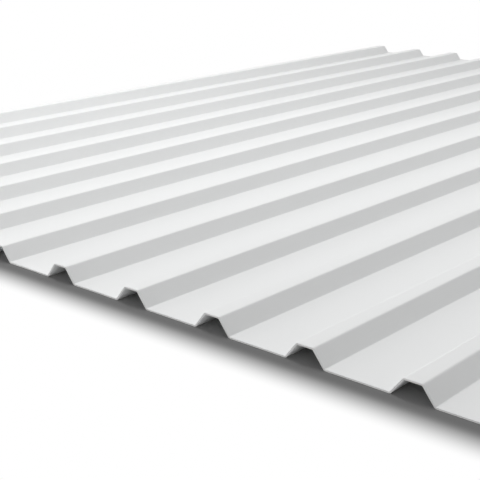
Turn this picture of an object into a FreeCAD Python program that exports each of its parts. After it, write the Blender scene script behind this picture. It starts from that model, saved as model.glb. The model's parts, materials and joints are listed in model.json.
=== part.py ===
"""Trapezoidal ribbed UPVC roofing sheet, one extruded piece.

The sheet lies flat with its ribs along +Y and its width along X. The underside of the
valleys is at z = 0, and the origin is under the middle of the sheet. All sizes are in
millimetres. The section is one strip of even thickness, bent at sharp corners that are
then rounded, with the same number of valleys and webs on both sides of the middle.
"""
import FreeCAD
import Part
import math
import os

# Sheet
SHEET_LENGTH = 1500.0  # along the ribs
THICKNESS = 1.5  # of the wall, square to its faces

# Ribs, measured on the top face between sharp corners
RIB_COUNT = 13
RIB_PITCH = 95.0  # from the middle of one crest to the next
CREST_WIDTH = 16.0  # flat top of a rib
WEB_RUN = 11.0  # how far a web runs sideways from valley to crest
RIB_RISE = 14.0  # how far a crest stands above a valley
SIDE_LIP = 11.0  # flat strip outside the last web on each side

# Bends
BEND_RADIUS = 1.2  # on the inner face of every bend


def section_point(x, z):
    """A point of the section, which lies in the plane y = 0."""
    return FreeCAD.Vector(x, 0.0, z)


def left_normal(direction):
    """The unit vector to the left of a direction in the section, seen with x right and z up."""
    return FreeCAD.Vector(-direction.z, 0.0, direction.x)


def top_corners():
    """Sharp corners of the top face, from the left side edge to the right one."""
    valley = THICKNESS
    crest = THICKNESS + RIB_RISE
    half_crest = CREST_WIDTH / 2
    half_foot = half_crest + WEB_RUN
    middles = [(rib - (RIB_COUNT - 1) / 2) * RIB_PITCH for rib in range(RIB_COUNT)]
    half_width = middles[-1] + half_foot + SIDE_LIP

    corners = [section_point(-half_width, valley)]
    for middle in middles:
        corners.append(section_point(middle - half_foot, valley))
        corners.append(section_point(middle - half_crest, crest))
        corners.append(section_point(middle + half_crest, crest))
        corners.append(section_point(middle + half_foot, valley))
    corners.append(section_point(half_width, valley))
    return corners


def bend_arcs(before, corner, after):
    """Start, middle and end of the arcs that round one corner, on the top face and on the underside.

    Both arcs share a centre. The one on the inside of the bend has BEND_RADIUS, and the
    other is larger by the thickness, so the wall keeps its thickness round the bend.
    """
    into = (corner - before).normalize()
    out = (after - corner).normalize()
    half_turn = into.getAngle(out) / 2
    centre_side = 1.0 if left_normal(into).dot(out) > 0 else -1.0
    inner_is_top = centre_side > 0
    top_radius = BEND_RADIUS if inner_is_top else BEND_RADIUS + THICKNESS
    underside_radius = BEND_RADIUS + THICKNESS if inner_is_top else BEND_RADIUS

    top_start = corner - into * (top_radius * math.tan(half_turn))
    centre = top_start + left_normal(into) * (centre_side * top_radius)
    outward = [left_normal(into), left_normal(into) + left_normal(out), left_normal(out)]
    rays = [normal.normalize() * -centre_side for normal in outward]
    top = [centre + ray * top_radius for ray in rays]
    underside = [centre + ray * underside_radius for ray in rays]
    return top, underside


def face_edges(start, arcs, end):
    """Edges of one face of the sheet across its width: straight runs joined by the arcs."""
    edges = []
    here = start
    for first, middle, last in arcs:
        edges.append(Part.LineSegment(here, first).toShape())
        edges.append(Part.Arc(first, middle, last).toShape())
        here = last
    edges.append(Part.LineSegment(here, end).toShape())
    return edges


def section_face():
    """The cut end of the sheet as a flat face."""
    corners = top_corners()
    bends = [bend_arcs(*three) for three in zip(corners, corners[1:], corners[2:])]
    drop = section_point(0.0, -THICKNESS)
    left_top = corners[0]
    right_top = corners[-1]
    left_bottom = left_top + drop
    right_bottom = right_top + drop

    top = face_edges(left_top, [bend[0] for bend in bends], right_top)
    underside = face_edges(left_bottom, [bend[1] for bend in bends], right_bottom)
    sides = [
        Part.LineSegment(right_top, right_bottom).toShape(),
        Part.LineSegment(left_bottom, left_top).toShape(),
    ]
    loop = Part.Wire(Part.__sortEdges__(top + underside + sides))
    return Part.Face(loop)


def roofing_sheet():
    """The section carried along the whole length, centred on the origin."""
    section = section_face()
    section.translate(FreeCAD.Vector(0.0, -SHEET_LENGTH / 2, 0.0))
    return section.extrude(FreeCAD.Vector(0.0, SHEET_LENGTH, 0.0))


os.makedirs("parts", exist_ok=True)
sheet = roofing_sheet()
sheet.exportStep("parts/roofing_sheet.step")
box = sheet.BoundBox
print("solid:", sheet.ShapeType, "valid:", sheet.isValid(), "volume mm3:", round(sheet.Volume, 1))
print("box mm:", [round(side, 3) for side in (box.XLength, box.YLength, box.ZLength)])
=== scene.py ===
"""White ribbed UPVC roofing sheet lying on a pale floor.

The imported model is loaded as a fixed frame, and the sheet's skin is worked out around it.
Everything is in metres in that frame: X across the ribs, Y along them, Z up, floor at z = 0.
"""
import json
import math

import bpy
import numpy as np
from bpy.props import FloatProperty, FloatVectorProperty, IntProperty, PointerProperty
from mathutils import Matrix, Vector


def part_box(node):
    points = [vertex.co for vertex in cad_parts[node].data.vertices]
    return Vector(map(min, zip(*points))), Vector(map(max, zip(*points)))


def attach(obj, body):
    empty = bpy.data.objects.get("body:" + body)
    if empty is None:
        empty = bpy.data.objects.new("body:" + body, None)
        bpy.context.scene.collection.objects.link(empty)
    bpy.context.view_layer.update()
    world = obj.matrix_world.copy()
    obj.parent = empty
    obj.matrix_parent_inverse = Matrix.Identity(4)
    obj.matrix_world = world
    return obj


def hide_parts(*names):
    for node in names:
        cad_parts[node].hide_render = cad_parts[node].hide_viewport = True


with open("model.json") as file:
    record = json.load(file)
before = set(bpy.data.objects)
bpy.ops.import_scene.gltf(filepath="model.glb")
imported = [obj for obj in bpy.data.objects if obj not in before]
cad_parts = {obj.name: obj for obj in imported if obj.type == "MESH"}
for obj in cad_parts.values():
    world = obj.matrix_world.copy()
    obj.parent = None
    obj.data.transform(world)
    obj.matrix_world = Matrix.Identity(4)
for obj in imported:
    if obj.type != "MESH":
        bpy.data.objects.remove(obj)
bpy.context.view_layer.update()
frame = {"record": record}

bl_info = {
    "name": "Ribbed Roofing Sheet",
    "version": (1, 0, 0),
    "blender": (4, 5, 0),
    "location": "3D View > Sidebar > Roofing",
    "description": "Makes a ribbed plastic roofing sheet, its finish and a plain stage",
    "category": "Add Mesh",
}

CAD_NODE = "roofing_sheet"
SLOT = "white_upvc"

# Angles round the quarter circle of a rounded edge
ARRIS_ANGLES = np.radians(np.array([0.0, 30.0, 60.0, 90.0]))

# Where the straight runs of the section are cut into columns, as shares of their width
FLAT_CUTS = (0, 0.04, 0.5, 0.96, 1)
VALLEY_CUTS = (0, 0.012, 0.15, 0.3, 0.5, 0.7, 0.85, 0.988, 1)
LIP_CUTS = (0, 0.5, 1)

# Wavelengths of each small irregularity in metres, with the seed of its phases
BOW_WAVES, BOW_SEED = (0.83, 0.47, 0.29), 3
STRAY_WAVES, STRAY_SEED = (1.1, 0.63, 0.41), 5
SAW_WAVES, SAW_SEED = (0.31, 0.083, 0.019), 7
BOW_STAGGER = 0.37  # metres along the sheet from one valley's bow to the next
STRAY_STAGGER = 0.61  # the same for the wander of the ribs
SAW_DEPTH = 8  # how far the saw's wave reaches into the sheet, in arris radii

# How high the marks on the surface stand, in metres
DIE_LINE_HEIGHT = 0.000012
FINE_LINE_HEIGHT = 0.000003
PEEL_HEIGHT = 0.000006
SAW_MARK_HEIGHT = 0.00006

# Darkest and palest tone of the skin and of the sawn face, as shares of their colours
SKIN_TONES = (0.985, 1.015)
SAWN_TONES = (0.88, 1.06)
CLOUD_SHARE = 0.7  # of the skin's tone; the die lines give the rest
CLOUD_GLOSS = 0.07  # how much the clouds vary the roughness
LINE_GLOSS = 0.05  # how much the fine lines vary it

# The painted shadow on the floor in front of the near end: its shift and fade, as shares of half its
# reach there
PAINTED_SHADOW_SHIFT = 1.2
PAINTED_SHADOW_FADE = 1.8
FLOOR_SPREAD = 16  # half the floor's side, in sheet lengths
SENSOR_WIDTH = 36.0  # of the camera, in millimetres
WHITE = (1.0, 1.0, 1.0)


def mount_place(name):
    """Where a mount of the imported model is."""
    return next(Vector(m["pos_m"]) for m in frame["record"]["mounts"] if m["name"] == name)


# Sizes that the frame gives
LOW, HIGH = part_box(CAD_NODE)
WIDTH = HIGH.x - LOW.x
LENGTH = HIGH.y - LOW.y
HEIGHT = HIGH.z - LOW.z
RIB_PITCH = 2 * mount_place("valley_underside").x
RIB_COUNT = 1 + round(2 * mount_place("right_lap_crest").x / RIB_PITCH)


# Settings ---------------------------------------------------------------------------------

class SheetSizes(bpy.types.PropertyGroup):
    """Sizes of the sheet that its box doesn't give, and of its small irregularities."""

    wall: FloatProperty(
        name="Wall", description="Thickness of the wall", default=0.0015, min=0.0005, unit="LENGTH")
    crest_width: FloatProperty(
        name="Crest Width", description="Flat top of a rib, between sharp corners",
        default=0.016, min=0.004, unit="LENGTH")
    web_run: FloatProperty(
        name="Web Run", description="How far a web runs sideways from valley to crest",
        default=0.011, min=0.002, unit="LENGTH")
    bend_radius: FloatProperty(
        name="Bend Radius", description="Radius on the inner face of every bend",
        default=0.0012, min=0.0002, unit="LENGTH")
    arris: FloatProperty(
        name="Arris Radius", description="Rounding of the sawn and trimmed edges",
        default=0.00018, min=0.00002, unit="LENGTH")
    valley_bow: FloatProperty(
        name="Valley Bow", description="How far a valley's floor rises between its two bends",
        default=0.00016, min=0.0, unit="LENGTH")
    wander: FloatProperty(
        name="Wander", description="How far a rib strays sideways along the sheet",
        default=0.00025, min=0.0, unit="LENGTH")
    saw_wave: FloatProperty(
        name="Saw Wave", description="How far a sawn end strays from a straight cut",
        default=0.0002, min=0.0, unit="LENGTH")
    bend_steps: IntProperty(
        name="Bend Steps", description="Flat steps round one bend", default=6, min=2)
    rows: IntProperty(
        name="Rows", description="Rows of faces along the sheet", default=60, min=4)


class FinishSettings(bpy.types.PropertyGroup):
    """Colours and surface of the white plastic."""

    plastic: FloatVectorProperty(
        name="Plastic", description="Colour of the skin", subtype="COLOR", size=3,
        default=(0.835, 0.842, 0.842), min=0.0, max=1.0)
    core: FloatVectorProperty(
        name="Sawn Face", description="Colour of the sawn ends", subtype="COLOR", size=3,
        default=(0.84, 0.842, 0.838), min=0.0, max=1.0)
    roughness: FloatProperty(
        name="Roughness", description="Roughness of the skin", default=0.42, min=0.0, max=1.0,
        subtype="FACTOR")
    sawn_roughness: FloatProperty(
        name="Sawn Roughness", description="Roughness of the sawn ends", default=0.68, min=0.0,
        max=1.0, subtype="FACTOR")
    line_spacing: FloatProperty(
        name="Die Line Spacing", description="Typical distance between drawn lines on the skin",
        default=0.0022, min=0.0002, unit="LENGTH")
    cloud_size: FloatProperty(
        name="Cloud Size", description="Size of the soft patches of tone", default=0.16,
        min=0.01, unit="LENGTH")


class StageSettings(bpy.types.PropertyGroup):
    """Floor, lamps and camera."""

    # Painted shadow: the floor's grey under and next to the sheet, as it is seen directly
    painted_shadow_grey: FloatProperty(
        name="Floor Grey", description="How pale the floor is under and next to the sheet",
        default=0.26, min=0.0, max=1.0)
    floor_bounce: FloatProperty(
        name="Floor Bounce", description="Whiteness of the floor for the light it gives back",
        default=0.8, min=0.0, max=1.0)
    # How far out round the sheet the painted shadow fades to white
    painted_shadow_reach: FloatProperty(
        name="Floor Contact", description="How far out from the sheet the floor has faded to white",
        default=0.02, min=0.001, unit="LENGTH")
    # How far out in front of the near end the painted shadow fades to white
    painted_shadow_front: FloatProperty(
        name="Floor Front", description="The same distance in front of the near end",
        default=0.048, min=0.002, unit="LENGTH")
    sky: FloatProperty(
        name="Sky", description="Even light from all round", default=0.44, min=0.0)
    overhead_power: FloatProperty(
        name="Overhead Power", description="Power of the lamp above the sheet, in watts",
        default=17.0, min=0.0)
    overhead_size: FloatProperty(
        name="Overhead Size", description="Side of the lamp above the sheet", default=0.8,
        min=0.1, unit="LENGTH")
    overhead_place: FloatVectorProperty(
        name="Overhead Place", description="Middle of the lamp above the sheet", size=3,
        subtype="XYZ", unit="LENGTH", default=(-0.55, -0.4, 1.6))
    side_power: FloatProperty(
        name="Side Power", description="Power of the lamp to the left of the sheet, in watts",
        default=30.0, min=0.0)
    side_size: FloatProperty(
        name="Side Size", description="Side of the lamp to the left of the sheet", default=2.0,
        min=0.1, unit="LENGTH")
    side_place: FloatVectorProperty(
        name="Side Place", description="Middle of the lamp to the left of the sheet", size=3,
        subtype="XYZ", unit="LENGTH", default=(-3.7, 0.0, 1.5))
    azimuth: FloatProperty(
        name="Azimuth", description="Direction of view about the vertical, 0 along the ribs",
        default=math.radians(41.56), subtype="ANGLE")
    elevation: FloatProperty(
        name="Elevation", description="Camera's angle above the floor",
        default=math.radians(17.55), subtype="ANGLE")
    roll: FloatProperty(
        name="Roll", description="Turn of the camera about its own axis",
        default=math.radians(-0.33), subtype="ANGLE")
    distance: FloatProperty(
        name="Distance", description="From the camera to the point it looks at",
        default=1.0886, min=0.1, unit="LENGTH")
    lens: FloatProperty(
        name="Lens", description="Focal length on a 36 mm sensor, in millimetres",
        default=79.5, min=10.0)
    aim: FloatVectorProperty(
        name="Aim", description="Point the camera looks at", size=3, subtype="XYZ",
        unit="LENGTH", default=(0.1409, -0.5524, 0.0015))


# Section and skin -------------------------------------------------------------------------

def straight_steps(length, shares):
    """Steps of a straight run cut at the given shares of its length: lengths and zero turns."""
    lengths = np.diff(np.asarray(shares)) * length
    return lengths, np.zeros_like(lengths)


def bend_steps(radius, angle, count):
    """Equal steps round an arc of the mid-line: arc lengths and turns that add up to the angle."""
    return np.full(count, radius * abs(angle) / count), np.full(count, angle / count)


def mid_line(sizes):
    """The mid-line of the wall in section, from the left side edge to the right one.

    It is a walk of steps, each with a length and a turn. A step of length s that turns by a
    ends s sin(a/2)/(a/2) away, in the direction halfway through its turn, so straight runs
    and arcs are both exact. Returns the points, the directions there and the walked distance.
    """
    rise = HEIGHT - sizes.wall
    slope = math.atan2(rise, sizes.web_run)
    tangent_in = sizes.bend_radius * math.tan(slope / 2)
    tangent_out = (sizes.bend_radius + sizes.wall) * math.tan(slope / 2)
    ribs_width = (RIB_COUNT - 1) * RIB_PITCH + sizes.crest_width + 2 * sizes.web_run
    lip = (WIDTH - ribs_width) / 2 - tangent_in
    valley = RIB_PITCH - sizes.crest_width - 2 * sizes.web_run - 2 * tangent_in
    web = math.hypot(rise, sizes.web_run) - tangent_in - tangent_out
    crest = sizes.crest_width - 2 * tangent_out

    mid_radius = sizes.bend_radius + sizes.wall / 2
    up = bend_steps(mid_radius, slope, sizes.bend_steps)
    down = bend_steps(mid_radius, -slope, sizes.bend_steps)
    across_web = straight_steps(web, FLAT_CUTS)
    across_crest = straight_steps(crest, FLAT_CUTS)
    across_valley = straight_steps(valley, VALLEY_CUTS)
    rib = [up, across_web, down, across_crest, down, across_web, up]
    side = straight_steps(lip, LIP_CUTS)
    walk = [side, *([*rib, across_valley] * (RIB_COUNT - 1)), *rib, side]

    step = np.concatenate([lengths for lengths, _ in walk])
    turn = np.concatenate([turns for _, turns in walk])
    before = np.cumsum(turn) - turn
    chord = step * np.sinc(turn / (2 * np.pi))
    x = np.concatenate([[0.0], np.cumsum(chord * np.cos(before + turn / 2))]) - WIDTH / 2
    z = np.concatenate([[0.0], np.cumsum(chord * np.sin(before + turn / 2))]) + sizes.wall / 2
    direction = np.concatenate([[0.0], np.cumsum(turn)])
    walked = np.concatenate([[0.0], np.cumsum(step)])
    return x, z, direction, walked


def half_ring(sizes):
    """One face of the sheet in section, with the rounded arris at each side edge.

    A point is x + pull * inset across, and reach - inset out from the mid-line, where inset
    is how far the whole outline has shrunk. On the side arrises, the point goes round a
    quarter circle, so reach falls there and pull follows the side edge.
    """
    x, z, direction, walked = mid_line(sizes)
    edge = WIDTH / 2 - sizes.arris * (1 - np.cos(ARRIS_ANGLES))
    drop = sizes.arris * (1 - np.sin(ARRIS_ANGLES))
    corner = np.ones(len(ARRIS_ANGLES))
    full = sizes.wall / 2
    inner = slice(1, -1)
    count = len(x) - 2
    last = walked[-1] - WIDTH / 2
    return {
        "x": np.concatenate([-edge, x[inner], edge[::-1]]),
        "z": np.concatenate([corner * z[0], z[inner], corner * z[-1]]),
        "direction": np.concatenate([0 * corner, direction[inner], 0 * corner]),
        "pull": np.concatenate([corner, np.zeros(count), -corner]),
        "reach": np.concatenate([full - drop, np.full(count, full), full - drop[::-1]]),
        "walked": np.concatenate([WIDTH / 2 - edge, walked[inner], last + edge[::-1]]),
    }


def waves(position, lengths, seed):
    """A smooth wander between -1 and 1: the mean of sines of the given wavelengths."""
    phases = np.random.default_rng(seed).uniform(0, 2 * np.pi, len(lengths))
    angles = 2 * np.pi * np.asarray(position)[..., None] / np.asarray(lengths) + phases
    return np.sin(angles).mean(axis=-1)


def valley_share(x, sizes):
    """0 at a valley's two bends and outside it, 1 in its middle: a raised cosine across it."""
    half = (RIB_PITCH - sizes.crest_width) / 2 - sizes.web_run - sizes.bend_radius
    from_middle = (x + (RIB_COUNT + 1) * RIB_PITCH / 2) % RIB_PITCH - RIB_PITCH / 2
    from_middle = np.where(np.abs(x) > (RIB_COUNT - 1) / 2 * RIB_PITCH, half, from_middle)
    share = np.clip(1 - np.abs(from_middle) / half, 0, 1)
    return (1 - np.cos(np.pi * share)) / 2


def skin_grid(sizes):
    """Points of the skin: rows along the sheet by columns round its closed section.

    Column k runs over the top from left to right, then back over the underside, so that
    column k and column n - 1 - k are the two faces of the wall at one place. The rows near
    an end shrink by arris * (1 - cos b) while they move out by arris * sin b, for b from 0
    to 90 degrees, which rounds the sawn edge. To this come the valley's bow, the rib's
    wander and the wave of the saw.
    """
    ring = half_ring(sizes)
    names = ("x", "z", "direction", "pull", "reach", "walked")
    there_and_back = (np.concatenate([ring[name], ring[name][::-1]]) for name in names)
    x, z, direction, pull, reach, walked = there_and_back
    count = len(ring["x"])
    face = np.concatenate([np.ones(count), -np.ones(count)])

    turn = ARRIS_ANGLES[::-1]
    shares = np.linspace(0, 1, sizes.rows + 1)[1:-1]
    body = shares * (LENGTH - 2 * sizes.arris) - LENGTH / 2 + sizes.arris
    end = LENGTH / 2 - sizes.arris * (1 - np.sin(turn))
    y = np.concatenate([-end, body, end[::-1]])[:, None]
    shrink = sizes.arris * (1 - np.cos(turn))
    inset = np.concatenate([shrink, np.zeros(len(body)), shrink[::-1]])[:, None]

    out = face * (reach - inset)
    across = x + pull * inset - np.sin(direction) * out
    up = z + np.cos(direction) * out
    rib = np.round(x / RIB_PITCH)
    bow_waves = waves(y + BOW_STAGGER * rib, BOW_WAVES, BOW_SEED)
    bow = valley_share(x, sizes) * (0.5 + 0.5 * bow_waves)
    lean = np.sin(np.pi * np.clip((z - sizes.wall / 2) / (HEIGHT - sizes.wall), 0, 1) / 2)
    stray = lean * waves(y + STRAY_STAGGER * rib, STRAY_WAVES, STRAY_SEED)
    at_end = np.clip(1 - (LENGTH / 2 - np.abs(y)) / (SAW_DEPTH * sizes.arris), 0, 1)
    saw = -np.sign(y) * at_end * (0.5 + 0.5 * waves(x + np.sign(y), SAW_WAVES, SAW_SEED))

    points = np.stack([
        across + sizes.wander * stray,
        np.broadcast_to(y, across.shape) + sizes.saw_wave * saw,
        up + sizes.valley_bow * bow,
    ], axis=-1)
    developed = np.stack(np.broadcast_arrays(walked, y), axis=-1)
    return points, developed


def grid_faces(rows, columns):
    """Quads of a grid that closes on itself across its columns, and of its two end caps.

    A cap joins column k to column n - 1 - k, its opposite on the other face of the wall.
    """
    row, column = np.meshgrid(np.arange(rows - 1), np.arange(columns), indexing="ij")
    following = (column + 1) % columns
    here, there = row * columns, (row + 1) * columns
    skin = np.stack([here + following, there + following, there + column, here + column], axis=-1)

    k = np.arange(columns // 2 - 1)
    near = np.stack([columns - 1 - k, columns - 2 - k, k + 1, k], axis=-1)
    far = near[:, ::-1] + (rows - 1) * columns
    return skin.reshape(-1, 4), np.concatenate([near, far])


def mesh_from_quads(name, points, quads):
    """A mesh from an array of points and an array of quads."""
    mesh = bpy.data.meshes.new(name)
    mesh.from_pydata(points.reshape(-1, 3).tolist(), [], quads.tolist())
    mesh.validate()
    mesh.update()
    return mesh


def add_object(name, data):
    """An object at the origin for a mesh, a lamp or a camera."""
    made = bpy.data.objects.new(name, data)
    bpy.context.scene.collection.objects.link(made)
    return made


def sheet_mesh(sizes):
    """The sheet's closed skin, with its developed coordinates as UV and its sawn faces marked."""
    points, developed = skin_grid(sizes)
    rows, columns = points.shape[:2]
    skin, caps = grid_faces(rows, columns)
    mesh = mesh_from_quads("roofing_sheet_skin", points, np.concatenate([skin, caps]))

    corners = np.empty(len(mesh.loops), np.int32)
    mesh.loops.foreach_get("vertex_index", corners)
    layer = mesh.uv_layers.new(name="developed")
    layer.data.foreach_set("uv", developed.reshape(-1, 2)[corners].astype(np.float32).ravel())
    sawn = mesh.attributes.new("sawn", "FLOAT", "FACE")
    sawn.data.foreach_set("value", np.repeat([0.0, 1.0], [len(skin), len(caps)]).astype(np.float32))

    mesh.polygons.foreach_set("use_smooth", np.ones(len(mesh.polygons), bool))
    ends = np.empty(2 * len(mesh.edges), np.int32)
    mesh.edges.foreach_get("vertices", ends)
    row = ends.reshape(-1, 2) // columns
    on_cap = (row[:, 0] == row[:, 1]) & np.isin(row[:, 0], (0, rows - 1))
    mesh.edges.foreach_set("use_edge_sharp", on_cap)
    mesh.update()
    return mesh


# Shader maths -----------------------------------------------------------------------------

class Term:
    """A socket of a node tree in Python arithmetic: each sign adds one Math node."""

    def __init__(self, tree, socket):
        self.tree = tree
        self.socket = socket

    def combine(self, operation, *values):
        """The Math node of one operation on the values."""
        return node(self.tree, "ShaderNodeMath", {"operation": operation}, dict(enumerate(values)))

    def __add__(self, other):
        return self.combine("ADD", self, other)

    def __sub__(self, other):
        return self.combine("SUBTRACT", self, other)

    def __rsub__(self, other):
        return self.combine("SUBTRACT", other, self)

    def __mul__(self, other):
        return self.combine("MULTIPLY", self, other)

    __radd__ = __add__
    __rmul__ = __mul__

    def clamped(self):
        """The value kept between 0 and 1."""
        return node(self.tree, "ShaderNodeClamp", {}, {"Value": self})


def node(tree, kind, settings, inputs, output=0):
    """Adds a node: its settings first, then the values or links of its sockets."""
    made = tree.nodes.new(kind)
    for name, value in settings.items():
        setattr(made, name, value)
    for key, value in inputs.items():
        socket = made.inputs[key]
        if isinstance(value, Term):
            tree.links.new(value.socket, socket)
        else:
            socket.default_value = value
    return Term(tree, made.outputs[output])


def mixed(tree, factor, first, second):
    """A blend of two colours."""
    return node(
        tree, "ShaderNodeMix", {"data_type": "RGBA"},
        {"Factor": factor, "A": first, "B": second}, "Result")


def rgba(colour, level=1.0):
    """A colour with alpha, made darker or lighter by a level."""
    return (*(channel * level for channel in colour), 1.0)


def empty_material(name):
    """A new material with only its output node, and that node."""
    made = bpy.data.materials.new(name)
    made.use_nodes = True
    made.node_tree.nodes.clear()
    return made, made.node_tree, made.node_tree.nodes.new("ShaderNodeOutputMaterial")


def stretched_noise(tree, across, along, detail, shift):
    """Noise from 0 to 1 on the developed skin, with a grain of across by along metres."""
    place = node(tree, "ShaderNodeUVMap", {"uv_map": "developed"}, {})
    scaled = node(
        tree, "ShaderNodeVectorMath", {"operation": "MULTIPLY_ADD"},
        {0: place, 1: (1 / across, 1 / along, 1.0), 2: (shift, shift, shift)})
    return node(
        tree, "ShaderNodeTexNoise", {},
        {"Vector": scaled, "Scale": 1.0, "Detail": detail, "Roughness": 0.55})


def upvc_material(finish):
    """White extruded UPVC: die lines along the ribs, soft clouds of tone and rougher sawn ends."""
    made, tree, output = empty_material(SLOT)
    die_lines = stretched_noise(
        tree, across=finish.line_spacing, along=0.9, detail=3.0, shift=11.0)
    fine_lines = stretched_noise(
        tree, across=finish.line_spacing / 6, along=0.35, detail=2.0, shift=37.0)
    clouds = stretched_noise(
        tree, across=finish.cloud_size, along=2.5 * finish.cloud_size, detail=3.0, shift=5.0)
    peel = stretched_noise(tree, across=0.0045, along=0.006, detail=2.0, shift=71.0)
    saw_marks = stretched_noise(tree, across=0.0004, along=1.0, detail=2.0, shift=53.0)
    sawn = node(tree, "ShaderNodeAttribute", {"attribute_name": "sawn"}, {}, "Fac")

    tone = (clouds * CLOUD_SHARE + die_lines * (1 - CLOUD_SHARE)).clamped()
    skin = mixed(tree, tone, *(rgba(finish.plastic, level) for level in SKIN_TONES))
    cut = mixed(tree, saw_marks, *(rgba(finish.core, level) for level in SAWN_TONES))
    colour = mixed(tree, sawn, skin, cut)

    unevenness = (clouds - 0.5) * CLOUD_GLOSS + (fine_lines - 0.5) * LINE_GLOSS
    roughness = (finish.roughness + unevenness) * (1 - sawn) + sawn * finish.sawn_roughness
    drawn = die_lines * DIE_LINE_HEIGHT + fine_lines * FINE_LINE_HEIGHT + peel * PEEL_HEIGHT
    relief = drawn * (1 - sawn) + sawn * saw_marks * SAW_MARK_HEIGHT
    normal = node(
        tree, "ShaderNodeBump", {}, {"Strength": 1.0, "Distance": 1.0, "Height": relief})

    surface = node(tree, "ShaderNodeBsdfPrincipled", {}, {
        "Base Color": colour, "Roughness": roughness.clamped(), "Normal": normal,
        "IOR": 1.53, "Coat Weight": 0.05, "Coat Roughness": 0.22,
    })
    tree.links.new(surface.socket, output.inputs["Surface"])
    return made


# Stage ------------------------------------------------------------------------------------

def seen_directly(tree):
    """1 for rays from the camera, a mirror or clear glass, and 0 for light on its way to a matt face."""
    kinds = ("Is Camera Ray", "Is Glossy Ray", "Is Transmission Ray")
    camera, glossy, through = (node(tree, "ShaderNodeLightPath", {}, {}, kind) for kind in kinds)
    return (camera + glossy + through).clamped()


def share_outside(tree, inset, shift, fade):
    """On the floor, 0 inside the sheet's outline, rising smoothly to 1 a fade away from it.

    The outline is drawn in by an inset and moved by a shift towards the near end. The
    distance from it is the length of max(|p| - half, 0), taken for x and y by themselves.
    """
    half = (WIDTH / 2 - inset, LENGTH / 2 - inset, 0)
    place = node(tree, "ShaderNodeTexCoord", {}, {}, "Object")
    moved = node(tree, "ShaderNodeVectorMath", {"operation": "ADD"}, {0: place, 1: (0, shift, 0)})
    mirrored = node(tree, "ShaderNodeVectorMath", {"operation": "ABSOLUTE"}, {0: moved})
    beyond = node(tree, "ShaderNodeVectorMath", {"operation": "SUBTRACT"}, {0: mirrored, 1: half})
    outside = node(tree, "ShaderNodeVectorMath", {"operation": "MAXIMUM"}, {0: beyond, 1: (0, 0, 0)})
    distance = node(tree, "ShaderNodeVectorMath", {"operation": "LENGTH"}, {0: outside}, "Value")
    return node(
        tree, "ShaderNodeMapRange", {"interpolation_type": "SMOOTHSTEP"},
        {"Value": distance, "From Min": 0.0, "From Max": fade})


def floor_material(stage):
    """A matt floor with a painted shadow: grey under the sheet and beside it, and white further out.

    The painted shadow reaches further out in front of the near end, and real shadows darken it too.
    The light that the floor gives back to the sheet comes from a paler grey, the same all over.
    """
    made, tree, output = empty_material("painted_shadow_floor")
    # Where the painted shadow lies: a narrow band round the sheet and a wider one in front of its near
    # end
    around = share_outside(tree, 0.0, 0.0, stage.painted_shadow_reach)
    reach = stage.painted_shadow_front / 2
    front = share_outside(tree, reach, PAINTED_SHADOW_SHIFT * reach, PAINTED_SHADOW_FADE * reach)
    seen = seen_directly(tree)
    # Painted shadow: the darker grey is seen directly, and the paler one lights the sheet
    colour = mixed(tree, seen, rgba(WHITE, stage.floor_bounce), rgba(WHITE, stage.painted_shadow_grey))
    lit = node(tree, "ShaderNodeBsdfDiffuse", {}, {"Color": colour, "Roughness": 1.0})
    white = node(tree, "ShaderNodeEmission", {}, {"Color": rgba(WHITE), "Strength": 1.0})
    surface = node(tree, "ShaderNodeMixShader", {}, {0: around * front * seen, 1: lit, 2: white})
    tree.links.new(surface.socket, output.inputs["Surface"])
    return made


def add_floor(stage):
    """A square floor, many times the sheet's length across."""
    corners = np.array([[-1, -1, 0], [1, -1, 0], [1, 1, 0], [-1, 1, 0]])
    points = corners * (FLOOR_SPREAD * LENGTH)
    floor = add_object("floor", mesh_from_quads("floor", points, np.array([[0, 1, 2, 3]])))
    floor.data.materials.append(floor_material(stage))


def light_world(stage):
    """Even light from all round, behind a white background."""
    world = bpy.data.worlds.new("even_sky")
    world.use_nodes = True
    tree = world.node_tree
    tree.nodes.clear()
    output = tree.nodes.new("ShaderNodeOutputWorld")
    seen = seen_directly(tree)
    strength = seen + (1 - seen) * stage.sky
    sky = node(tree, "ShaderNodeBackground", {}, {"Color": rgba(WHITE), "Strength": strength})
    tree.links.new(sky.socket, output.inputs["Surface"])
    bpy.context.scene.world = world


def aimed(place, target, roll=0.0):
    """The pose of a lamp or camera at a place, looking along its own -Z at a target."""
    turned = (Vector(target) - Vector(place)).to_track_quat("-Z", "Y").to_matrix()
    return Matrix.Translation(place) @ (turned @ Matrix.Rotation(roll, 3, "Z")).to_4x4()


def add_lamp(name, power, size, place):
    """A square area lamp that faces the middle of the sheet, with its power in watts."""
    lamp = bpy.data.lights.new(name, "AREA")
    lamp.energy = power
    lamp.size = size
    made = add_object(name, lamp)
    made.matrix_world = aimed(place, (0, 0, 0))


def add_camera(stage):
    """The camera, placed by its direction and distance from the point it looks at."""
    flat = math.cos(stage.elevation)
    back = Vector((
        math.sin(stage.azimuth) * flat, -math.cos(stage.azimuth) * flat, math.sin(stage.elevation)))
    data = bpy.data.cameras.new("camera")
    data.lens = stage.lens
    data.sensor_width = SENSOR_WIDTH
    data.clip_start = 0.01
    data.clip_end = 100.0
    made = add_object("camera", data)
    aim = Vector(stage.aim)
    made.matrix_world = aimed(aim + back * stage.distance, aim, stage.roll)
    bpy.context.scene.camera = made


# Operators and panel ----------------------------------------------------------------------

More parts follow.
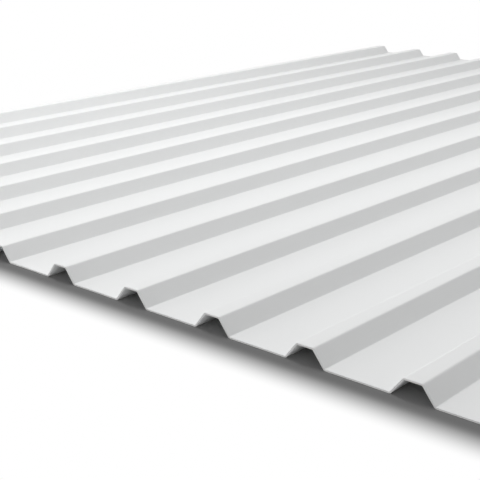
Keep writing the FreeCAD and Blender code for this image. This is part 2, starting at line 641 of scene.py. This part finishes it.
class ROOFING_OT_add_sheet(bpy.types.Operator):
    """Make the sheet's skin with its finish, in place of the plain solid"""

    bl_idname = "roofing.add_sheet"
    bl_label = "Add Sheet"

    def execute(self, context):
        scene = context.scene
        sheet = add_object("roofing_sheet_skin", sheet_mesh(scene.roofing_sizes))
        sheet.data.materials.append(upvc_material(scene.roofing_finish))
        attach(sheet, "root")
        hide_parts(CAD_NODE)
        return {"FINISHED"}


class ROOFING_OT_add_stage(bpy.types.Operator):
    """Make the floor, the lamps, the world and the camera"""

    bl_idname = "roofing.add_stage"
    bl_label = "Add Stage"

    def execute(self, context):
        stage = context.scene.roofing_stage
        context.scene.view_settings.view_transform = "Standard"
        add_floor(stage)
        light_world(stage)
        add_lamp("overhead_lamp", stage.overhead_power, stage.overhead_size, stage.overhead_place)
        add_lamp("side_lamp", stage.side_power, stage.side_size, stage.side_place)
        add_camera(stage)
        return {"FINISHED"}


class ROOFING_PT_panel(bpy.types.Panel):
    """Settings and steps of the roofing sheet"""

    bl_idname = "ROOFING_PT_panel"
    bl_label = "Roofing Sheet"
    bl_space_type = "VIEW_3D"
    bl_region_type = "UI"
    bl_category = "Roofing"

    def draw(self, context):
        scene = context.scene
        steps = (
            (scene.roofing_sizes, None),
            (scene.roofing_finish, ROOFING_OT_add_sheet),
            (scene.roofing_stage, ROOFING_OT_add_stage),
        )
        for settings, operator in steps:
            column = self.layout.column(align=True)
            for name in settings.bl_rna.properties.keys():
                if name not in ("rna_type", "name"):
                    column.prop(settings, name)
            if operator:
                column.operator(operator.bl_idname)


CLASSES = (
    SheetSizes,
    FinishSettings,
    StageSettings,
    ROOFING_OT_add_sheet,
    ROOFING_OT_add_stage,
    ROOFING_PT_panel,
)


def register():
    for each in CLASSES:
        bpy.utils.register_class(each)
    bpy.types.Scene.roofing_sizes = PointerProperty(type=SheetSizes)
    bpy.types.Scene.roofing_finish = PointerProperty(type=FinishSettings)
    bpy.types.Scene.roofing_stage = PointerProperty(type=StageSettings)


def unregister():
    del bpy.types.Scene.roofing_stage
    del bpy.types.Scene.roofing_finish
    del bpy.types.Scene.roofing_sizes
    for each in reversed(CLASSES):
        bpy.utils.unregister_class(each)


def main():
    """Makes the sheet and the stage."""
    register()
    bpy.ops.roofing.add_sheet()
    bpy.ops.roofing.add_stage()


if __name__ == "__main__":
    main()
